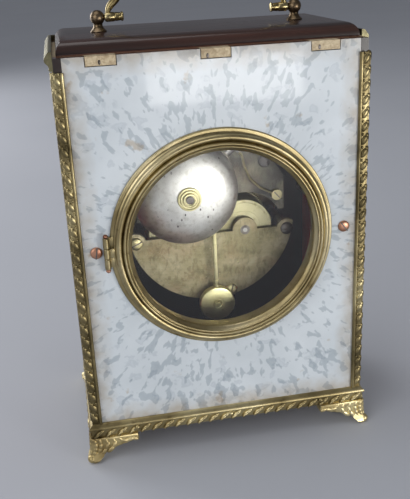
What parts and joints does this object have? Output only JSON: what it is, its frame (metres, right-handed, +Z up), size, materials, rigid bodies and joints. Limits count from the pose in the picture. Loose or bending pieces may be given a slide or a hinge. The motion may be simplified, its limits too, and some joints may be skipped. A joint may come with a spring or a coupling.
{
  "type": "officer clock",
  "caption": "Cased carriage clock with round glazed doors front and back, bail handle, cast feet, and a striking movement with bell, hammer and pendulum.",
  "frame": {"origin": "centre of the footprint, on the surface the feet stand on", "axes": "+Z up, -Y out of the dial, +Y out of the back door, +X to the left seen from behind"},
  "size_m": [0.161, 0.1, 0.2673],
  "materials": {
    "carcass_wood": "oiled oak carcass",
    "veneer_wood": "french polished veneer",
    "back_panel_sheet": "pale varnished sheet, mottled",
    "roof_wood": "dark french polish",
    "lining_cloth": "matt red lining",
    "case_brass": "aged gilt brass",
    "movement_brass": "lacquered brass, slightly tarnished",
    "barrel_brass": "bright turned brass",
    "copper_screws": "coppery slotted heads",
    "steel_parts": "polished steel",
    "blued_steel": "blued steel",
    "bell_metal": "silvered bell metal",
    "clear_glass": "clear bevelled glass",
    "dial_enamel": "white enamel"
  },
  "bodies": {
    "case": {"base_board": "carcass_wood", "side_board_left": "veneer_wood", "side_board_right": "veneer_wood", "top_board": "carcass_wood", "front_board": "veneer_wood", "back_board": "carcass_wood", "back_panel": "back_panel_sheet", "roof": "roof_wood", "case_lining": "lining_cloth", "case_screws": "copper_screws", "base_moulding": "case_brass", "moulding_pins": "case_brass", "cornice": "case_brass", "corner_trims": "case_brass", "feet": "case_brass", "handle_posts": "case_brass", "rear_bezel_ring": "case_brass", "front_bezel_ring": "case_brass", "hinge_pins": "case_brass", "back_plate": "movement_brass", "upper_bridge": "movement_brass", "front_plate": "movement_brass", "pillars": "movement_brass", "plate_screws": "steel_parts", "suspension_cock": "movement_brass", "bell": "bell_metal", "bell_post": "steel_parts", "bell_nut": "movement_brass", "dial": "dial_enamel"},
    "handle": {"handle_bail": "case_brass"},
    "rear_door": {"rear_door_bezel": "case_brass", "rear_door_glass": "clear_glass"},
    "front_door": {"front_door_bezel": "case_brass", "front_door_glass": "clear_glass"},
    "going_barrel": {"going_barrel": "barrel_brass", "going_mainspring": "blued_steel"},
    "going_arbor": {"going_arbor": "steel_parts"},
    "going_click": {"going_click": "steel_parts"},
    "second": {"second_wheel": "movement_brass"},
    "centre": {"centre_wheel": "movement_brass", "cannon_pinion": "steel_parts", "minute_hand": "blued_steel", "hand_nut": "movement_brass"},
    "third": {"third_wheel": "movement_brass"},
    "escape": {"escape_wheel": "movement_brass"},
    "anchor": {"anchor": "steel_parts"},
    "pendulum": {"suspension_spring": "steel_parts", "pendulum_rod": "movement_brass", "pendulum_bob": "movement_brass"},
    "strike_barrel": {"strike_barrel": "barrel_brass", "strike_mainspring": "blued_steel"},
    "strike_arbor": {"strike_arbor": "steel_parts"},
    "strike_click": {"strike_click": "steel_parts"},
    "pin_wheel": {"pin_wheel": "movement_brass"},
    "locking": {"locking_wheel": "movement_brass"},
    "fly": {"fly": "movement_brass"},
    "hammer": {"hammer": "steel_parts"},
    "minute_work": {"minute_wheel": "movement_brass"},
    "hour": {"hour_wheel": "movement_brass", "hour_hand": "blued_steel"}
  },
  "joints": [
    {"name": "handle_swing", "type": "hinge", "parent": "case", "child": "handle", "pos_m": [0, 0, 0.2288], "axis": [1, 0, 0], "range_deg": [-95, 95]},
    {"name": "rear_door_hinge", "type": "hinge", "parent": "case", "child": "rear_door", "pos_m": [0.0592, 0.0459, 0.1205], "axis": [0, 0, -1], "range_deg": [0, 110]},
    {"name": "front_door_hinge", "type": "hinge", "parent": "case", "child": "front_door", "pos_m": [0.0592, -0.0459, 0.1205], "axis": [0, 0, 1], "range_deg": [0, 110]},
    {"name": "going_barrel_turn", "type": "hinge", "parent": "case", "child": "going_barrel", "pos_m": [0.0184, 0, 0.1133], "axis": [0, 1, 0], "continuous": true},
    {"name": "going_winding", "type": "hinge", "parent": "case", "child": "going_arbor", "pos_m": [0.0184, 0, 0.1133], "axis": [0, 1, 0], "continuous": true},
    {"name": "second_turn", "type": "hinge", "parent": "case", "child": "second", "pos_m": [0.0015, 0, 0.1042], "axis": [0, 1, 0], "continuous": true},
    {"name": "centre_turn", "type": "hinge", "parent": "case", "child": "centre", "pos_m": [0, 0, 0.1205], "axis": [0, 1, 0], "continuous": true},
    {"name": "third_turn", "type": "hinge", "parent": "case", "child": "third", "pos_m": [0, 0, 0.1347], "axis": [0, 1, 0], "continuous": true},
    {"name": "escape_turn", "type": "hinge", "parent": "case", "child": "escape", "pos_m": [0, 0, 0.1456], "axis": [0, 1, 0], "continuous": true},
    {"name": "minute_wheel_turn", "type": "hinge", "parent": "case", "child": "minute_work", "pos_m": [-0.0068, -0.027, 0.1273], "axis": [0, 1, 0], "continuous": true},
    {"name": "hour_turn", "type": "hinge", "parent": "case", "child": "hour", "pos_m": [0, -0.032, 0.1205], "axis": [0, 1, 0], "continuous": true},
    {"name": "pendulum_swing", "type": "hinge", "parent": "case", "child": "pendulum", "pos_m": [0, 0.018, 0.1568], "axis": [0, 1, 0], "range_deg": [-5, 5]},
    {"name": "anchor_rock", "type": "hinge", "parent": "case", "child": "anchor", "pos_m": [0, 0, 0.1568], "axis": [0, 1, 0], "range_deg": [-5, 5]},
    {"name": "strike_barrel_turn", "type": "hinge", "parent": "case", "child": "strike_barrel", "pos_m": [-0.0184, 0, 0.1133], "axis": [0, 1, 0], "continuous": true},
    {"name": "strike_winding", "type": "hinge", "parent": "case", "child": "strike_arbor", "pos_m": [-0.0184, 0, 0.1133], "axis": [0, 1, 0], "continuous": true},
    {"name": "pin_wheel_turn", "type": "hinge", "parent": "case", "child": "pin_wheel", "pos_m": [-0.014, 0, 0.0946], "axis": [0, 1, 0], "continuous": true},
    {"name": "locking_turn", "type": "hinge", "parent": "case", "child": "locking", "pos_m": [-0.003, 0, 0.0887], "axis": [0, 1, 0], "continuous": true},
    {"name": "fly_turn", "type": "hinge", "parent": "case", "child": "fly", "pos_m": [0.0044, 0, 0.0877], "axis": [0, 1, 0], "continuous": true},
    {"name": "hammer_lift", "type": "hinge", "parent": "case", "child": "hammer", "pos_m": [-0.036, 0, 0.1325], "axis": [0, -1, 0], "range_deg": [0, 10], "stiffness_Nm_per_rad": 0.004, "springref_deg": -34.38},
    {"name": "going_click_rock", "type": "hinge", "parent": "case", "child": "going_click", "pos_m": [0.0278, -0.027, 0.1133], "axis": [0, -1, 0], "range_deg": [-20, 0], "stiffness_Nm_per_rad": 0.00001, "springref_deg": 34.38},
    {"name": "strike_click_rock", "type": "hinge", "parent": "case", "child": "strike_click", "pos_m": [-0.0278, -0.027, 0.1133], "axis": [0, -1, 0], "range_deg": [0, 20], "stiffness_Nm_per_rad": 0.00001, "springref_deg": -34.38}
  ],
  "couplings": [
    {"joint": "second_turn", "follows": "going_barrel_turn", "ratio": -7},
    {"joint": "centre_turn", "follows": "going_barrel_turn", "ratio": 40.833},
    {"joint": "third_turn", "follows": "going_barrel_turn", "ratio": -525},
    {"joint": "escape_turn", "follows": "going_barrel_turn", "ratio": 6750},
    {"joint": "minute_wheel_turn", "follows": "going_barrel_turn", "ratio": -13.611},
    {"joint": "hour_turn", "follows": "going_barrel_turn", "ratio": 3.4028},
    {"joint": "anchor_rock", "follows": "pendulum_swing", "ratio": 1},
    {"joint": "pin_wheel_turn", "follows": "strike_barrel_turn", "ratio": -7},
    {"joint": "locking_turn", "follows": "strike_barrel_turn", "ratio": 61.25},
    {"joint": "fly_turn", "follows": "strike_barrel_turn", "ratio": -459.38}
  ]
}
